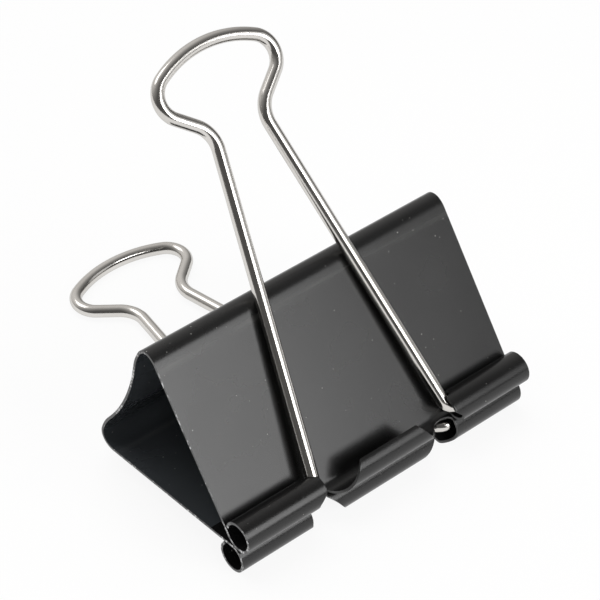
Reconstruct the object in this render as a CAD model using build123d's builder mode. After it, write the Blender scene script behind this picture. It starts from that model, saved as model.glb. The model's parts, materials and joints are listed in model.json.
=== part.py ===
import os
from math import acos, asin, atan2, cos, degrees, hypot, radians, sin, tan

from build123d import *

# Foldback clip lying on its rear side, in millimetres. X runs along the clip's width, the lips point to -Y.

# Spring-steel body
body_width = 51.0
sheet = 0.4
slope = 28.8
jaw_stagger = 0.8

# Body section, outer surface, from the middle of the spine to the flat of a jaw
spine_radius = 32.1
spine_arc = 14.0
ease_radius = 10.2
ease_arc = 21.2
fold_radius = 2.0
fold_arc = 87.0
crown_radius = 3.1
fold_gap = 0.1

# Rolled lips
barrel_radius = 2.35
seam_gap = 0.15
lip_gap = 0.1
tongue_roll = 209.0
top_corner = 2.0
bottom_corner = 1.2

# Wire handles, half of the centre line from the loop's end to the foot
wire_radius = 0.95
handle_reach = 60.0
loop_radius = 16.9
loop_arc = 28.0
shoulder_radius = 3.3
flare_angle = 50.3
flare_length = 3.3
waist_radius = 4.4
leg_splay = 9.35
foot_bend = 1.9
foot_length = 6.0

# Clearances
rest_clearance = 0.1
leg_clearance = 0.2
tongue_clearance = 0.8
cut_margin = 0.5

# Values that follow from the sizes above
half_width = body_width / 2
bore_radius = barrel_radius - sheet
crown_arc = 90 + slope + spine_arc - ease_arc - fold_arc
stagger_offset = jaw_stagger / 2 * tan(radians(slope))
front_offset = barrel_radius + lip_gap / 2 + stagger_offset
rear_offset = barrel_radius + lip_gap / 2 - stagger_offset
barrel_roll = 360 - degrees(acos((bore_radius - seam_gap) / barrel_radius))
gap_arc = degrees(fold_gap / ease_radius)


def surface(barrel_offset, depth):
    """One side of the sheet at a depth below its outer surface, from the spine's middle to the end of the flat.

    Drawn with x towards the lips and y out from the mid-plane, with the barrel's axis at the given offset.
    """
    spine_edge = JernArc((depth, 0), (0, 1), spine_radius + depth, spine_arc)
    ease = JernArc(spine_edge @ 1, spine_edge % 1, ease_radius - depth, -ease_arc)
    fold = JernArc(ease @ 1, ease % 1, fold_radius - depth, -fold_arc)
    crown = JernArc(fold @ 1, fold % 1, crown_radius - depth, -crown_arc)
    flat_end = barrel_offset - (bore_radius + depth) * cos(radians(slope))
    flat_length = ((crown @ 1).Y - flat_end) / sin(radians(slope))
    flat = Line(crown @ 1, crown @ 1 + (crown % 1) * flat_length)
    return spine_edge, ease, fold, crown, flat


def roll(flat, depth, angle):
    """The rolled lip that carries on from the end of the flat."""
    return JernArc(flat @ 1, flat % 1, bore_radius + depth, angle)


# Centres in the section of each side
front_edges = surface(front_offset, 0)
rear_edges = surface(rear_offset, 0)
front_barrel = roll(front_edges[4], 0, barrel_roll).arc_center
rear_barrel = roll(rear_edges[4], 0, barrel_roll).arc_center
fold_hinge = front_edges[1] @ 1


def handle_angle(edges, barrel):
    """Angle between a handle at rest on its crown and the mid-plane."""
    crown_centre = edges[3].arc_center
    run = barrel.X - crown_centre.X
    rise = crown_centre.Y - barrel.Y
    reach = hypot(run, rise)
    return atan2(rise, run) + asin((crown_radius + wire_radius + rest_clearance) / reach)


front_angle = handle_angle(front_edges, front_barrel)
rear_angle = handle_angle(rear_edges, rear_barrel)

# The clip lies on its rear barrels and the end of its rear handle
lean = asin((barrel_radius - wire_radius) / handle_reach)
tilt = rear_angle - lean
along = Vector(0, cos(tilt), sin(tilt))
out = Vector(0, -sin(tilt), cos(tilt))

# Positions measured from the rear barrel axis, then shifted so the overall box is centred in Y
spine_from_rear = along * rear_barrel.X + out * rear_barrel.Y
front_from_rear = spine_from_rear - along * front_barrel.X + out * front_barrel.Y
y_low = min(0, front_from_rear.Y) - barrel_radius
y_high = handle_reach * cos(lean) + wire_radius
rear_axis = Vector(0, -(y_low + y_high) / 2, barrel_radius)
front_axis = rear_axis + front_from_rear
spine_middle = rear_axis + spine_from_rear

# Section planes, with x towards the lips and y out of that side
width_axis = Vector(1, 0, 0)
front_section = Plane(spine_middle, x_dir=-along, z_dir=-width_axis)
rear_section = Plane(spine_middle, x_dir=-along, z_dir=width_axis)

# Handle planes, with y along the handle
front_reach = along * cos(front_angle) + out * sin(front_angle)
rear_reach = along * cos(rear_angle) - out * sin(rear_angle)
front_handle_plane = Plane(front_axis, x_dir=width_axis, z_dir=width_axis.cross(front_reach))
rear_handle_plane = Plane(rear_axis, x_dir=width_axis, z_dir=width_axis.cross(rear_reach))

# Centre line of a handle, with y along the handle and the barrel axis at y = 0
loop_edge = JernArc((0, handle_reach), (1, 0), loop_radius, -loop_arc)
shoulder = JernArc(loop_edge @ 1, loop_edge % 1, shoulder_radius, loop_arc - flare_angle - 90)
flare = Line(shoulder @ 1, shoulder @ 1 + (shoulder % 1) * flare_length)
waist = JernArc(flare @ 1, flare % 1, waist_radius, flare_angle + leg_splay)
foot_height = foot_bend * (1 - sin(radians(leg_splay)))
leg_length = ((waist @ 1).Y - foot_height) / cos(radians(leg_splay))
leg = Line(waist @ 1, waist @ 1 + (waist % 1) * leg_length)
bend = JernArc(leg @ 1, leg % 1, foot_bend, 90 - leg_splay)
foot = Line(bend @ 1, bend @ 1 + width_axis * foot_length)
with BuildLine() as handle_line:
    add([loop_edge, shoulder, flare, waist, leg, bend, foot])
    mirror(about=Plane.YZ)

# The lips leave a slot for each leg to swing in
leg_offset = (leg @ 1).X
tab_end = leg_offset + wire_radius + leg_clearance
tongue_root = leg_offset - wire_radius - tongue_clearance


def make_jaw(section, axis, side, barrel_offset):
    """One side of the clip, from the fold to its rolled lip of two barrels and a tongue."""
    outer = surface(barrel_offset, 0)
    inner = surface(barrel_offset, sheet)
    barrel_inside = roll(outer[4], 0, barrel_roll)
    barrel_outside = roll(inner[4], sheet, barrel_roll)
    tongue_inside = roll(outer[4], 0, tongue_roll)
    tongue_outside = roll(inner[4], sheet, tongue_roll)
    face_view = Plane(axis, x_dir=side, z_dir=side.cross(along))
    lip_view = Plane(axis, x_dir=side, z_dir=-along)
    seam_depth = barrel_radius * sin(radians(barrel_roll - 270 - slope))
    with BuildPart() as jaw:
        with BuildSketch(section):
            with BuildLine():
                add([*outer[2:], *inner[2:]])
                Line(outer[2] @ 0, inner[2] @ 0)
                Line(outer[4] @ 1, inner[4] @ 1)
            make_face()
        extrude(amount=half_width, both=True)

        # Barrels at both ends of the lip
        with BuildSketch(section.offset(tab_end), section.offset(-half_width)):
            with BuildLine():
                add([barrel_inside, barrel_outside])
                Line(barrel_inside @ 0, barrel_outside @ 0)
                Line(barrel_inside @ 1, barrel_outside @ 1)
            make_face()
        extrude(amount=half_width - tab_end)

        # Rounded corners at the inner ends of the barrels
        with BuildSketch(face_view.offset(-seam_depth)):
            with Locations((tab_end, barrel_radius - top_corner / 2)):
                Rectangle(2 * top_corner, top_corner)
            with Locations((tab_end + top_corner, barrel_radius - top_corner)):
                Circle(top_corner, mode=Mode.SUBTRACT)
            mirror(about=Plane.YZ)
        extrude(amount=seam_depth + barrel_radius, mode=Mode.SUBTRACT)
        with BuildSketch(face_view):
            with Locations((tab_end, -barrel_radius)):
                Rectangle(2 * bottom_corner, 2 * bottom_corner)
            with Locations((tab_end + bottom_corner, bottom_corner - barrel_radius)):
                Circle(bottom_corner, mode=Mode.SUBTRACT)
            mirror(about=Plane.YZ)
        extrude(amount=barrel_radius, both=True, mode=Mode.SUBTRACT)

        # Tongue between the handle's legs, narrowing from its root to its free edge
        with BuildSketch(section):
            with BuildLine():
                add([tongue_inside, tongue_outside])
                Line(tongue_inside @ 0, tongue_outside @ 0)
                Line(tongue_inside @ 1, tongue_outside @ 1)
            make_face()
        extrude(amount=tongue_root, both=True)
        with BuildSketch(lip_view.offset(-cut_margin)):
            with BuildLine():
                root_curve = JernArc((tongue_root, -barrel_radius), (-1, 0), barrel_radius, -90)
                edge_curve = JernArc(root_curve @ 1, root_curve % 1, barrel_radius, 90)
                Polyline(
                    edge_curve @ 1,
                    edge_curve @ 1 + Vector(0, cut_margin),
                    (leg_offset, barrel_radius + cut_margin),
                    (leg_offset, -barrel_radius - cut_margin),
                    (tongue_root, -barrel_radius - cut_margin),
                    root_curve @ 0,
                )
            make_face()
            mirror(about=Plane.YZ)
        extrude(amount=barrel_radius + 2 * cut_margin, mode=Mode.SUBTRACT)
    return jaw


def make_handle(plane):
    """A handle bent from one length of round wire."""
    path = plane.from_local_coords(handle_line.wire())
    with BuildPart() as handle:
        with BuildSketch(Plane(path @ 0, z_dir=path % 0)):
            Circle(wire_radius)
        sweep(path=path)
    return handle


# Spine between the two folds, a little short of each
outer_middle, outer_ease = front_edges[:2]
inner_middle, inner_ease = surface(front_offset, sheet)[:2]
outer_end = outer_ease.trim(0, 1 - gap_arc / ease_arc)
inner_end = inner_ease.trim(0, 1 - gap_arc / ease_arc)
with BuildPart() as spine:
    with BuildSketch(front_section):
        with BuildLine():
            add([outer_middle, outer_end, inner_middle, inner_end])
            Line(outer_end @ 1, inner_end @ 1)
            mirror(about=Plane.XZ)
        make_face()
    extrude(amount=half_width, both=True)

front_jaw = make_jaw(front_section, front_axis, width_axis, front_offset)
rear_jaw = make_jaw(rear_section, rear_axis, -width_axis, rear_offset)
front_handle = make_handle(front_handle_plane)
rear_handle = make_handle(rear_handle_plane)

os.makedirs("parts", exist_ok=True)
pieces = {
    "spine": spine,
    "front_jaw": front_jaw,
    "rear_jaw": rear_jaw,
    "front_handle": front_handle,
    "rear_handle": rear_handle,
}
for name, piece in pieces.items():
    piece.part.label = name
    export_step(piece.part, f"parts/{name}.step")
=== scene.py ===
import json
from math import acos, cos, degrees, pi, radians, sin, sqrt

import bmesh
import bpy
from mathutils import Matrix, Vector


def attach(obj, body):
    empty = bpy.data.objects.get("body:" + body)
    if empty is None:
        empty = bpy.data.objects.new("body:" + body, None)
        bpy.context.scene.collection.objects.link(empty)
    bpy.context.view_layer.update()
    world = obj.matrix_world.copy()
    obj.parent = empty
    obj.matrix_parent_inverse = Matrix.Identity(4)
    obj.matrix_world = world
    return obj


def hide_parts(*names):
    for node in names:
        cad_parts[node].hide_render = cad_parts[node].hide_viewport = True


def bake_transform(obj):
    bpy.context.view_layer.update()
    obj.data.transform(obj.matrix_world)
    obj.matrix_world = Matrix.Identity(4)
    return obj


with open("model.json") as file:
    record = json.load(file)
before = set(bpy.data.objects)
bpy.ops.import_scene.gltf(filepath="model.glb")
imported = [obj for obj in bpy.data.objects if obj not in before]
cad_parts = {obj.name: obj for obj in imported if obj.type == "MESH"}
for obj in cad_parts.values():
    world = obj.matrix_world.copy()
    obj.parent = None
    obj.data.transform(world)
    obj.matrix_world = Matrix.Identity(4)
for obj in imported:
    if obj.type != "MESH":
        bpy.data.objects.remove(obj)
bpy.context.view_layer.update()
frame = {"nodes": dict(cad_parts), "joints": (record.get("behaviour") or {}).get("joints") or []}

MM = 0.001

# Sheet body, in metres and degrees
body_width = 51.0 * MM
half_width = body_width / 2
sheet = 0.4 * MM
slope = 28.8
spine_radius = 32.1 * MM
spine_arc = 14.0
ease_radius = 10.2 * MM
ease_arc = 21.2
fold_radius = 2.0 * MM
fold_arc = 87.0
crown_radius = 3.1 * MM
crown_arc = 90 + slope + spine_arc - ease_arc - fold_arc

# Rounded cut edges, on all corners sharper than an angle
edge_round = 0.09 * MM
edge_segments = 3
sharp_angle = 50

# The space between the jaws: a point inside it, and how far it reaches from the spine
throat_depth = 8.0 * MM
lip_depth = 21.0 * MM

# Rolled lips
barrel_radius = 2.35 * MM
bore_radius = barrel_radius - sheet
roll_radius = bore_radius + sheet / 2
seam_gap = 0.15 * MM
barrel_roll = 360 - degrees(acos((bore_radius - seam_gap) / barrel_radius))
tongue_roll = 209.0
tongue_taper = 4.8 * MM

# Inner ends of the barrels, and the angles round a barrel between which each is drawn in
tab_reach = 11.7 * MM
tab_shoulder = 1.4 * MM
tab_relief = 0.2 * MM
tab_root = tab_reach + tab_shoulder + tab_relief
top_window = (66, 44)
low_window = (118, 172)
relief_window = (172, 200)

# Slots for the legs, with a rounded end in the start of the roll
slot_middle = 11.55 * MM
slot_half = tab_root - slot_middle
slot_top = 0.43 * MM
slot_foot = 1.35 * MM
slot_top_roll = degrees(slot_top / roll_radius)
slot_foot_roll = degrees(slot_foot / roll_radius)

# Fineness of the sheet: steps of its section, columns across it, and a column close to each edge
spine_steps = 12
ease_steps = 8
fold_steps = 20
crown_steps = 8
flat_steps = 12
root_steps = 3
arch_steps = 10
roll_step = 4
tab_columns = 12
tongue_columns = 20
edge_guard = 0.15 * MM
same_place = 1e-9

# Wire handles, half of the centre line from the loop's end to the foot
wire_radius = 0.95 * MM
handle_reach = 60.0 * MM
loop_radius = 16.9 * MM
loop_arc = 28.0
shoulder_radius = 3.3 * MM
flare_angle = 50.3
flare_length = 3.3 * MM
waist_radius = 4.4 * MM
leg_splay = 9.35
foot_bend = 1.9 * MM
foot_length = 6.0 * MM
end_radius = 0.82 * wire_radius
end_length = 0.18 * wire_radius
loop_share = 0.97

# Fineness of the wire: steps of its centre line and sides of its round section
loop_steps = 14
shoulder_steps = 28
waist_steps = 18
foot_steps = 18
wire_sides = 40

# Where a noise pattern changes over
noise_window = (0.3, 0.7)

# Black paint outside, and a lighter, cooler copy in the throat that is painted light lifting the
# shade between the jaws: the clouds' two greys and a third over each fold's crown
paint_greys = (0.005, 0.008, 0.009)
painted_fill_greys = (0.046, 0.056, 0.05)
painted_fill_tint = 0.1

# Clouds and orange peel in the paint, with the scale of each pattern per metre
cloud_scale = 90.0
cloud_window = (0.25, 0.75)
paint_roughness = (0.245, 0.285)
paint_specular = 0.5
peel_scale = 2600.0
peel_strength = 0.05
peel_depth = 0.02 * MM
# Light grey laid on for dust, nicks and the shoulder band, which is partly a painted highlight
mark_and_highlight_colour = (0.5, 0.5, 0.47, 1)

# Specks of dust
speck_scale = 800.0
speck_reach = 0.085
speck_chance_scale = 300.0
speck_chance = (0.48, 0.54)

# Short straight nicks
nick_turn = (0.4, 0.9, 0.5)
nick_scale = (110, 900, 900)
nick_reach = 0.09
nick_chance_scale = 240.0
nick_chance = (0.62, 0.70)
nick_strength = 0.4

# A third grey over the crown of each fold, and a streaky lighter band along the shoulder below it:
# partly rubbed by the wires, partly a painted highlight
crown_depth = 1.6 * MM
crown_fade = 1.2 * MM
rub_highlight_start = 2.1 * MM
rub_highlight_end = 0.7 * MM
rub_highlight_peak = 0.6
rub_highlight_strength = 0.05
streak_scale = (90, 900, 900)
streak_window = (0.35, 0.65)
streak_low = 0.1

# Cut edge, worn to bright steel at the clip's two ends
wear_start = 18.0 * MM
wear_end = 20.0 * MM
chip_scale = 2800.0
patch_scale = 260.0
patch_share = 0.45
steel_window = (0.53, 0.60)
steel_grey = (0.05, 0.6)
metal_window = (0.53, 0.59)
metal_share = (0.0, 0.9)
edge_roughness = (0.38, 0.28)
edge_specular = 0.6

# Nickel plate, as reflective as that metal is seen straight on and at its edge
nickel_dull = (0.64, 0.62, 0.59)
nickel_bright = (0.72, 0.70, 0.67)
nickel_edge = (0.83, 0.83, 0.83, 1)
haze_scale = 160.0
wire_roughness = (0.12, 0.20)
line_scale = (24.0, 0.4, 1.0)
line_strength = 0.03
line_depth = 0.02 * MM

# White floor, with the share that shows as plain white, to the eye and in reflections alike
floor_size = 6
floor_grey = 0.9
floor_roughness = 0.8
floor_white = 0.9

# Room, brightest behind the clip and above it
room_way = (0, 0.75, 0.5)
room_levels = ((0.0, 0.1), (0.45, 0.3), (0.85, 0.75))
room_tint = -0.02
lamp_target = Vector((0, -0.01, 0.015))

# Camera, from the photograph
camera_place = Vector((-0.16154, -0.20332, 0.23745))
camera_azimuth = 40.28
camera_elevation = 40.71
camera_roll = -0.31
camera_near = 0.01
focal_pixels = 2429.0
image_pixels = 600.0
sensor_width = 36.0

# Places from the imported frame
joint_place = {j["name"]: Vector(j["pos_m"]) for j in frame["joints"]}
front_axis = joint_place["front_swing"]
rear_axis = joint_place["rear_swing"]
across = Vector((1, 0, 0))
out = (joint_place["front_fold"] - joint_place["rear_fold"]).normalized()
along = out.cross(across)


def spread(start, end, count, guard=0):
    """Evenly spaced values from start to end, with one more close inside each end for a guard."""
    values = [start + (end - start) * i / count for i in range(count + 1)]
    if guard:
        values = [start, start + guard, *values[1:-1], end - guard, end]
    return values


def ease(value, start, end):
    """Smooth step from 0 at start to 1 at end."""
    share = min(1, max(0, (value - start) / (end - start)))
    return share * share * (3 - 2 * share)


def headed(heading):
    """Unit vector at a heading in degrees."""
    return Vector((cos(radians(heading)), sin(radians(heading))))


def turned(start, heading, radius, angles):
    """Points at angles along an arc from start at a heading, turning left for positive angles."""
    sign = 1 if angles[-1] > 0 else -1
    way = radians(heading)
    centre = start + Vector((-sin(way), cos(way))) * radius * sign
    return [centre + Matrix.Rotation(radians(angle), 2) @ (start - centre) for angle in angles]


def arc(start, heading, radius, turn, count):
    """Evenly spaced points after start on an arc, and the heading at its end."""
    return turned(start, heading, radius, spread(0, turn, count)[1:]), heading + turn


def body_section(barrel_offset):
    """Middle of the sheet from the spine's middle to the end of the flat, and the heading there."""
    depth = sheet / 2
    points = [Vector((depth, 0))]
    heading = 90
    for radius, turn, count in (
        (spine_radius + depth, spine_arc, spine_steps),
        (ease_radius - depth, -ease_arc, ease_steps),
        (fold_radius - depth, -fold_arc, fold_steps),
        (crown_radius - depth, -crown_arc, crown_steps),
    ):
        more, heading = arc(points[-1], heading, radius, turn, count)
        points += more
    flat_end = barrel_offset - (bore_radius + depth) * cos(radians(slope))
    length = (points[-1].y - flat_end) / sin(radians(slope))
    start = points[-1]
    flat = spread(0, length, flat_steps, edge_guard)[1:]
    points += [start + headed(heading) * step for step in flat]
    return points, heading


def hinge_depth():
    """How far the folds' hinges lie behind the middle of the spine's outer surface."""
    spine_part, heading = arc(Vector((0, 0)), 90, spine_radius, spine_arc, 1)
    ease_part, heading = arc(spine_part[-1], heading, ease_radius, -ease_arc, 1)
    return -ease_part[-1].x


fold_middle = (joint_place["front_fold"] + joint_place["rear_fold"]) / 2
spine_middle = fold_middle - along * hinge_depth()


def handle_line():
    """Half of a handle's centre line, from the loop's end to the foot, with y along the handle."""
    line = [Vector((0, handle_reach))]
    more, heading = arc(line[-1], 0, loop_radius, -loop_arc, loop_steps)
    line += more
    shoulder_turn = loop_arc - flare_angle - 90
    more, heading = arc(line[-1], heading, shoulder_radius, shoulder_turn, shoulder_steps)
    line += more
    line.append(line[-1] + headed(heading) * flare_length)
    more, heading = arc(line[-1], heading, waist_radius, flare_angle + leg_splay, waist_steps)
    line += more
    foot_height = foot_bend * (1 - sin(radians(leg_splay)))
    leg_length = (line[-1].y - foot_height) / cos(radians(leg_splay))
    line.append(line[-1] + headed(heading) * leg_length)
    more, heading = arc(line[-1], heading, foot_bend, 90 - leg_splay, foot_steps)
    line += more
    line.append(line[-1] + Vector((foot_length, 0)))
    return line


def slot_spread(roll):
    """Half of a slot's width at an angle of the roll within its rounded end."""
    rise = (slot_foot_roll - roll) / (slot_foot_roll - slot_top_roll)
    return slot_half * sqrt(max(0, 1 - rise * rise))


def tab_inner(roll):
    """Where a barrel's inner end lies at an angle of the roll: drawn in where a leg rests."""
    if roll < slot_foot_roll:
        return slot_middle + slot_spread(roll)
    angle = 270 + slope - roll
    drawn_in = max(ease(angle, *top_window), ease(angle, *low_window))
    return tab_reach + tab_shoulder * drawn_in + tab_relief * ease(angle, *relief_window)


def tongue_half(roll):
    """Half of the tongue's width at an angle of the roll, narrowing evenly to its free edge."""
    if roll < slot_foot_roll:
        return slot_middle - slot_spread(roll)
    share = (roll - slot_foot_roll) / (tongue_roll - slot_foot_roll)
    return slot_middle - slot_half - tongue_taper * share


def lip_rolls(end):
    """Angles of the roll from the slots' top to the free edge, close together at the slots."""
    arch_height = slot_foot_roll - slot_top_roll
    turns = spread(0, 90, arch_steps)[1:]
    arch = [slot_foot_roll - arch_height * cos(radians(turn)) for turn in turns]
    count = round((end - slot_foot_roll) / roll_step)
    return arch + spread(slot_foot_roll, end, count)[1:]


def carry_on(mesh, row, stations, place):
    """Continues a row of vertices through stations, each a point of the section and its columns."""
    for point, columns in stations:
        following = [mesh.verts.new(place(point, x)) for x in columns]
        for i in range(len(row) - 1):
            mesh.faces.new((row[i], row[i + 1], following[i + 1], following[i]))
        row = following
    return row


def sheet_side(mesh, middle_row, plate_columns, side, barrel_axis):
    """Adds one side of the clip, from the spine's middle to its rolled lip."""
    barrel_offset = (barrel_axis - spine_middle).dot(out) * side
    points, heading = body_section(barrel_offset)
    start = points[-1]

    def place(point, x):
        return spine_middle - along * point.x + out * point.y * side + across * x

    def stations(rolls, columns):
        lip = turned(start, heading, roll_radius, rolls)
        return [(point, columns(roll)) for point, roll in zip(lip, rolls)]

    def right_tab(roll):
        return spread(tab_inner(roll), half_width, tab_columns, edge_guard)

    def left_tab(roll):
        return [-x for x in reversed(right_tab(roll))]

    def tongue(roll):
        return spread(-tongue_half(roll), tongue_half(roll), tongue_columns, edge_guard)

    plate = [(p, plate_columns) for p in points[1:]]
    plate += stations(spread(0, slot_top_roll, root_steps)[1:], lambda roll: plate_columns)
    row = carry_on(mesh, middle_row, plate, place)
    left = [v for v, x in zip(row, plate_columns) if x < -slot_middle + same_place]
    right = [v for v, x in zip(row, plate_columns) if x > slot_middle - same_place]
    centre = [v for v, x in zip(row, plate_columns) if abs(x) < slot_middle + same_place]
    carry_on(mesh, right, stations(lip_rolls(barrel_roll), right_tab), place)
    carry_on(mesh, left, stations(lip_rolls(barrel_roll), left_tab), place)
    carry_on(mesh, centre, stations(lip_rolls(tongue_roll), tongue), place)


def apply_modifiers(piece):
    """Makes the modifiers' result the piece's own mesh."""
    graph = bpy.context.evaluated_depsgraph_get()
    finished = bpy.data.meshes.new_from_object(piece.evaluated_get(graph))
    piece.modifiers.clear()
    piece.data = finished


def new_piece(name, mesh):
    """A new object in the scene from a finished bmesh, which is freed."""
    data = bpy.data.meshes.new(name)
    mesh.to_mesh(data)
    mesh.free()
    piece = bpy.data.objects.new(name, data)
    bpy.context.scene.collection.objects.link(piece)
    return piece


def in_throat(face):
    """Whether a face of the body looks into the space between the jaws."""
    centre = face.calc_center_median()
    past_spine = (spine_middle - centre).dot(along)
    heart = spine_middle - along * throat_depth
    inward = heart - centre
    inward.x = 0
    return past_spine < lip_depth and face.normal.dot(inward) > 0


def make_sheet(paint, bare_edge, inside):
    """The folded sheet body, in two halves that meet at the spine's middle."""
    mesh = bmesh.new()
    plate_columns = (
        spread(-half_width, -slot_middle, tab_columns, edge_guard)
        + spread(-slot_middle, slot_middle, tongue_columns, edge_guard)[1:]
        + spread(slot_middle, half_width, tab_columns, edge_guard)[1:]
    )
    start = spine_middle - along * sheet / 2
    middle_row = [mesh.verts.new(start + across * x) for x in plate_columns]
    sheet_side(mesh, middle_row, plate_columns, 1, front_axis)
    sheet_side(mesh, middle_row, plate_columns, -1, rear_axis)
    bmesh.ops.recalc_face_normals(mesh, faces=mesh.faces)
    whole = new_piece("sheet", mesh)
    whole.data.materials.append(paint)
    whole.data.materials.append(bare_edge)
    solid = whole.modifiers.new("thickness", "SOLIDIFY")
    solid.thickness = sheet
    solid.offset = 0
    solid.use_even_offset = True
    solid.material_offset_rim = 1
    rounding = whole.modifiers.new("rounding", "BEVEL")
    rounding.width = edge_round
    rounding.segments = edge_segments
    rounding.limit_method = "ANGLE"
    rounding.angle_limit = radians(sharp_angle)
    apply_modifiers(whole)
    halves = []
    for name, side in (("front_sheet", 1), ("rear_sheet", -1)):
        half = bmesh.new()
        half.from_mesh(whole.data)
        other = [
            face for face in half.faces
            if (face.calc_center_median() - spine_middle).dot(out) * side < 0
        ]
        bmesh.ops.delete(half, geom=other, context="FACES")
        for face in half.faces:
            face.smooth = True
            # Faces looking into the throat get the lighter, cooler copy of the paint: painted light
            # in the throat's shade
            if face.material_index == 0 and in_throat(face):
                face.material_index = 2
        piece = new_piece(name, half)
        for material in (paint, bare_edge, inside):
            piece.data.materials.append(material)
        halves.append(piece)
    bpy.data.objects.remove(whole)
    return halves


def make_wire(name, axis, direction, material):
    """A handle as a round tube along its centre line, with its ends rounded off."""
    normal = across.cross(direction)
    half_line = handle_line()
    line = [Vector((-p.x, p.y)) for p in reversed(half_line)] + half_line[1:]
    ahead = (line[-1] - line[-2]).normalized()
    stations = [(line[0], end_radius), (line[0] + ahead * end_length, wire_radius)]
    stations += [(p, wire_radius) for p in line[1:-1]]
    stations += [(line[-1] - ahead * end_length, wire_radius), (line[-1], end_radius)]
    mesh = bmesh.new()
    layer = mesh.loops.layers.uv.new("wire")
    rings = []
    lengths = []
    travelled = 0
    for i, (point, radius) in enumerate(stations):
        before = stations[max(i - 1, 0)][0]
        after = stations[min(i + 1, len(stations) - 1)][0]
        travelled += (point - before).length
        tangent = (after - before).normalized()
        side = Vector((tangent.y, -tangent.x))
        ring = []
        for k in range(wire_sides):
            turn = 2 * pi * k / wire_sides
            flat = point + side * radius * cos(turn)
            lift = normal * radius * sin(turn)
            ring.append(mesh.verts.new(axis + across * flat.x + direction * flat.y + lift))
        rings.append(ring)
        lengths.append(travelled)
    for i in range(len(rings) - 1):
        ring, following = rings[i], rings[i + 1]
        for k in range(wire_sides):
            beside = (k + 1) % wire_sides
            face = mesh.faces.new((ring[k], ring[beside], following[beside], following[k]))
            face.smooth = True
            corners = ((k, i), (k + 1, i), (k + 1, i + 1), (k, i + 1))
            for loop, (u, v) in zip(face.loops, corners):
                loop[layer].uv = (u / wire_sides, lengths[v] / (2 * pi * wire_radius))
    mesh.faces.new(list(reversed(rings[0])))
    mesh.faces.new(rings[-1])
    bmesh.ops.recalc_face_normals(mesh, faces=mesh.faces)
    piece = new_piece(name, mesh)
    piece.data.materials.append(material)
    return piece


def grey(value, tint=0.0):
    """A grey, a little cool for a positive tint."""
    return (value * (1 - tint), value, value * (1 + tint))


class Nodes:
    """A short way to write a material's node tree."""

    def __init__(self, name):
        self.material = bpy.data.materials.new(name)
        self.material.use_nodes = True
        self.tree = self.material.node_tree
        self.shader = self.tree.nodes["Principled BSDF"]

    def add(self, kind, inputs=None, **settings):
        """A node with its settings, and with values or links on its inputs."""
        node = self.tree.nodes.new(kind)
        for key, value in settings.items():
            setattr(node, key, value)
        for key, value in (inputs or {}).items():
            if isinstance(value, bpy.types.NodeSocket):
                self.tree.links.new(value, node.inputs[key])
            else:
                node.inputs[key].default_value = value
        return node

    def place(self):
        """Where a point lies on the object."""
        return self.add("ShaderNodeTexCoord").outputs["Object"]

    def noise(self, place, scale, detail):
        """A noise pattern."""
        inputs = {"Vector": place, "Scale": scale, "Detail": detail}
        return self.add("ShaderNodeTexNoise", inputs).outputs["Fac"]

    def cells(self, place, scale):
        """Distance from the nearest of scattered points."""
        inputs = {"Vector": place, "Scale": scale}
        return self.add("ShaderNodeTexVoronoi", inputs).outputs["Distance"]

    def stretch(self, place, scale, turn=(0, 0, 0)):
        """Coordinates turned and scaled differently in each direction."""
        inputs = {"Vector": place, "Rotation": turn, "Scale": scale}
        return self.add("ShaderNodeMapping", inputs).outputs["Vector"]

    def share(self, value, start, end):
        """0 at start and 1 at end, even in between."""
        inputs = {"Value": value, "From Min": start, "From Max": end}
        return self.add("ShaderNodeMapRange", inputs).outputs["Result"]

    def math(self, operation, *values):
        """One sum with sockets or numbers."""
        node = self.add("ShaderNodeMath", dict(enumerate(values)), operation=operation)
        return node.outputs["Value"]

    def ramp(self, factor, *stops):
        """A colour ramp through stops of a position and a colour."""
        node = self.add("ShaderNodeValToRGB", {"Fac": factor})
        elements = node.color_ramp.elements
        while len(elements) < len(stops):
            elements.new(0.5)
        for element, (position, colour) in zip(elements, stops):
            element.position = position
            element.color = (*colour, 1)
        return node.outputs["Color"]

    def fade(self, factor, window, levels):
        """A ramp between two greys."""
        return self.ramp(factor, (window[0], grey(levels[0])), (window[1], grey(levels[1])))

    def blend(self, first, second, way):
        """Two colours blended in full."""
        node = self.add("ShaderNodeMix", {"Factor": 1.0}, data_type="RGBA", blend_type=way)
        self.tree.links.new(first, node.inputs["A"])
        self.tree.links.new(second, node.inputs["B"])
        return node.outputs["Result"]

    def cover(self, below, colour, factor):
        """One plain colour laid over another where the factor says."""
        node = self.add("ShaderNodeMix", {"B": colour}, data_type="RGBA")
        self.tree.links.new(below, node.inputs["A"])
        self.tree.links.new(factor, node.inputs["Factor"])
        return node.outputs["Result"]

    def relief(self, height, strength, depth):
        """A bump on the surface."""
        inputs = {"Height": height, "Strength": strength, "Distance": depth}
        self.plug(self.add("ShaderNodeBump", inputs).outputs["Normal"], "Normal")

    def plug(self, socket, name):
        """Links a socket to the shader."""
        self.tree.links.new(socket, self.shader.inputs[name])

    def set(self, name, value):
        """Sets a constant on the shader."""
        self.shader.inputs[name].default_value = value


def dust(n, place):
    """Specks, in some places only."""
    dot = n.fade(n.cells(place, speck_scale), (0.0, speck_reach), (1.0, 0.0))
    some = n.fade(n.noise(place, speck_chance_scale, detail=1.0), speck_chance, (0.0, 1.0))
    return n.blend(dot, some, "MULTIPLY")


def nicks(n, place):
    """Short straight marks, in a few places only."""
    skewed = n.stretch(place, nick_scale, nick_turn)
    nick = n.fade(n.cells(skewed, scale=1.0), (0.0, nick_reach), (1.0, 0.0))
    few = n.fade(n.noise(place, nick_chance_scale, detail=1.0), nick_chance, (0.0, nick_strength))
    return n.blend(nick, few, "MULTIPLY")


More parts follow.
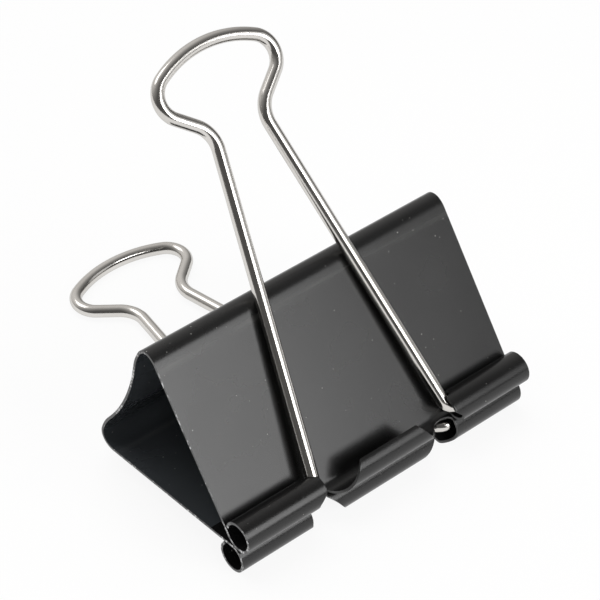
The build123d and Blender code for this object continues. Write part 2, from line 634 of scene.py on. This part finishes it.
def rub_and_highlight(n, place, rise, crown):
    """A streaky lighter band along the shoulder of each fold: partly rubbed by the wires, partly a
    painted highlight.
    """
    shoulder = n.share(rise, crown - rub_highlight_start, crown - rub_highlight_end)
    band = n.ramp(shoulder, (0.0, grey(0.0)), (rub_highlight_peak, grey(rub_highlight_strength)), (1.0, grey(0.0)))
    streaks = n.noise(n.stretch(place, streak_scale), scale=1.0, detail=3.0)
    return n.blend(band, n.fade(streaks, streak_window, (streak_low, 1.0)), "MULTIPLY")


def paint_material(name, levels, tint=0.0):
    """Satin black paint: orange peel, soft clouds, dust, nicks, a third grey over each fold's
    crown, and a streaky band below it, partly rubbed and partly a painted highlight.
    """
    low, high, crown_grey = (grey(level, tint) for level in levels)
    n = Nodes(name)
    place = n.place()
    product = n.add("ShaderNodeVectorMath", {0: place, 1: along}, operation="DOT_PRODUCT")
    rise = product.outputs["Value"]
    crown = spine_middle.dot(along) - crown_depth
    cloud = n.noise(place, cloud_scale, detail=4.0)
    base = n.ramp(cloud, (noise_window[0], low), (noise_window[1], high))
    # A third grey over the crown of each fold, fading in over a short way below it
    folded = n.cover(base, (*crown_grey, 1), n.share(rise, crown - crown_fade, crown))
    marks = n.blend(dust(n, place), nicks(n, place), "LIGHTEN")
    # The shoulder band added here is partly a painted highlight along each fold
    marks = n.blend(marks, rub_and_highlight(n, place, rise, crown), "LIGHTEN")
    n.plug(n.cover(folded, mark_and_highlight_colour, marks), "Base Color")
    n.plug(n.fade(cloud, cloud_window, paint_roughness), "Roughness")
    n.relief(n.noise(place, peel_scale, detail=3.0), peel_strength, peel_depth)
    n.set("Specular IOR Level", paint_specular)
    return n.material


def edge_material():
    """The sheet's cut edge: thin paint, worn to bright steel in places at the clip's two ends."""
    n = Nodes("worn_edge")
    place = n.place()
    chips = n.noise(place, chip_scale, detail=2.0)
    patches = n.noise(place, patch_scale, detail=2.0)
    inputs = {"Factor": patch_share, "A": chips, "B": patches}
    both = n.add("ShaderNodeMix", inputs, data_type="FLOAT").outputs["Result"]
    sideways = n.add("ShaderNodeSeparateXYZ", {"Vector": place}).outputs["X"]
    outside = n.share(n.math("ABSOLUTE", sideways), wear_start, wear_end)
    wear = n.math("MULTIPLY", both, outside)
    n.plug(n.fade(wear, steel_window, steel_grey), "Base Color")
    n.plug(n.fade(wear, metal_window, metal_share), "Metallic")
    n.plug(n.fade(wear, steel_window, edge_roughness), "Roughness")
    n.set("Specular IOR Level", edge_specular)
    return n.material


def wire_material():
    """Bright nickel plate with faint drawing lines along the wire."""
    n = Nodes("nickel_wire")
    along_wire = n.add("ShaderNodeUVMap", uv_map="wire").outputs["UV"]
    lines = n.noise(n.stretch(along_wire, line_scale), scale=1.0, detail=3.0)
    haze = n.noise(n.place(), haze_scale, detail=3.0)
    plate = n.ramp(haze, (noise_window[0], nickel_dull), (noise_window[1], nickel_bright))
    n.plug(plate, "Base Color")
    n.plug(n.fade(lines, noise_window, wire_roughness), "Roughness")
    n.relief(lines, line_strength, line_depth)
    n.set("Metallic", 1.0)
    n.set("Specular Tint", nickel_edge)
    return n.material


def handle_direction(node, axis):
    """Direction of a handle at rest, from its barrel's axis towards the far end of its loop."""
    arms = [v.co - axis for v in frame["nodes"][node].data.vertices]
    far = max(arms, key=lambda arm: arm.length)
    total = Vector((0, 0, 0))
    for arm in arms:
        if arm.dot(far) > loop_share * far.dot(far):
            total += Vector((0, arm.y, arm.z))
    return total.normalized()


def dress():
    """Builds the visible pieces, ties the wires to the handles that carry them, and hides the parts
    they stand in for.
    """
    paint = paint_material("black_paint", paint_greys)
    # A lighter, cooler copy of the paint for the throat: painted fill light where shade falls
    # between the jaws
    inside = paint_material("black_paint_painted_fill", painted_fill_greys, painted_fill_tint)
    bare_edge = edge_material()
    nickel = wire_material()
    front_half, rear_half = make_sheet(paint, bare_edge, inside)
    for piece, jaw, side in ((front_half, "front_jaw", 1), (rear_half, "rear_jaw", -1)):
        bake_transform(piece)
        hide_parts(jaw)
    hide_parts("spine")
    for body, axis in (("front_handle", front_axis), ("rear_handle", rear_axis)):
        wire = make_wire(body + "_wire", axis, handle_direction(body, axis), nickel)
        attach(wire, body)
        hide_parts(body)


def area_light(name, azimuth, elevation, distance, width, height, radiance, glossy=True):
    """A soft rectangular lamp facing the clip, its azimuth measured from the front towards +X."""
    side, rise = radians(azimuth), radians(elevation)
    way = Vector((sin(side) * cos(rise), -cos(side) * cos(rise), sin(rise)))
    data = bpy.data.lights.new(name, "AREA")
    data.shape = "RECTANGLE"
    data.size = width
    data.size_y = height
    data.energy = radiance * pi * width * height
    lamp = bpy.data.objects.new(name, data)
    lamp.location = lamp_target + way * distance
    lamp.rotation_euler = (-way).to_track_quat("-Z", "Y").to_euler()
    lamp.visible_glossy = glossy
    bpy.context.scene.collection.objects.link(lamp)


def white_floor():
    """White floor that keeps a light shadow."""
    bpy.ops.mesh.primitive_plane_add(size=floor_size)
    floor = bpy.context.object
    floor.name = "floor"
    n = Nodes("floor")
    n.set("Base Color", (*grey(floor_grey), 1))
    n.set("Roughness", floor_roughness)
    glow = n.add("ShaderNodeEmission", {"Strength": 1.0}).outputs["Emission"]
    ray = n.add("ShaderNodeLightPath").outputs
    mirrored = n.math("MAXIMUM", ray["Is Glossy Ray"], ray["Is Transmission Ray"])
    shown = n.math("MAXIMUM", ray["Is Camera Ray"], mirrored)
    share = n.math("MULTIPLY", shown, floor_white)
    surface = n.add("ShaderNodeMixShader", {"Fac": share, 1: n.shader.outputs["BSDF"], 2: glow})
    output = n.tree.nodes["Material Output"]
    n.tree.links.new(surface.outputs["Shader"], output.inputs["Surface"])
    floor.data.materials.append(n.material)


def dim_room():
    """A room that is darker in front of the clip than above and behind it."""
    world = bpy.data.worlds.new("room")
    bpy.context.scene.world = world
    world.use_nodes = True
    tree = world.node_tree
    place = tree.nodes.new("ShaderNodeTexCoord")
    depth = tree.nodes.new("ShaderNodeVectorMath")
    depth.operation = "DOT_PRODUCT"
    depth.inputs[1].default_value = room_way
    shade = tree.nodes.new("ShaderNodeValToRGB")
    stops = shade.color_ramp.elements
    stops.new(0.5)
    for stop, (position, level) in zip(stops, room_levels):
        stop.position = position
        stop.color = (*grey(level, room_tint), 1)
    tree.links.new(place.outputs["Generated"], depth.inputs[0])
    tree.links.new(depth.outputs["Value"], shade.inputs["Fac"])
    tree.links.new(shade.outputs["Color"], tree.nodes["Background"].inputs["Color"])


def studio():
    """White floor, a dim room, lamps in front, behind and above, and one on the camera's side."""
    white_floor()
    dim_room()
    area_light(
        "key", azimuth=15, elevation=25.5, distance=0.6, width=0.30, height=0.35, radiance=5.6
    )
    area_light(
        "front_fill", azimuth=48, elevation=24, distance=0.62, width=0.34, height=0.32,
        radiance=0.6,
    )
    area_light(
        "back", azimuth=200, elevation=50, distance=0.7, width=0.4, height=0.3, radiance=1.6
    )
    area_light(
        "overhead", azimuth=150, elevation=80, distance=0.32, width=0.2, height=0.2,
        radiance=3.2, glossy=False,
    )
    area_light(
        "camera_side", azimuth=-40, elevation=41, distance=0.8, width=0.3, height=0.3,
        radiance=4.0, glossy=False,
    )


def camera():
    """Camera at the photograph's angle."""
    data = bpy.data.cameras.new("camera")
    data.sensor_width = sensor_width
    data.lens = focal_pixels / image_pixels * sensor_width
    data.clip_start = camera_near
    lens = bpy.data.objects.new("camera", data)
    turn = Matrix.Rotation(radians(-camera_azimuth), 4, "Z")
    tilt = Matrix.Rotation(radians(90 - camera_elevation), 4, "X")
    roll = Matrix.Rotation(radians(camera_roll), 4, "Z")
    lens.matrix_world = Matrix.Translation(camera_place) @ turn @ tilt @ roll
    bpy.context.scene.collection.objects.link(lens)
    bpy.context.scene.camera = lens


dress()
studio()
camera()
bpy.context.scene.view_settings.view_transform = "Standard"
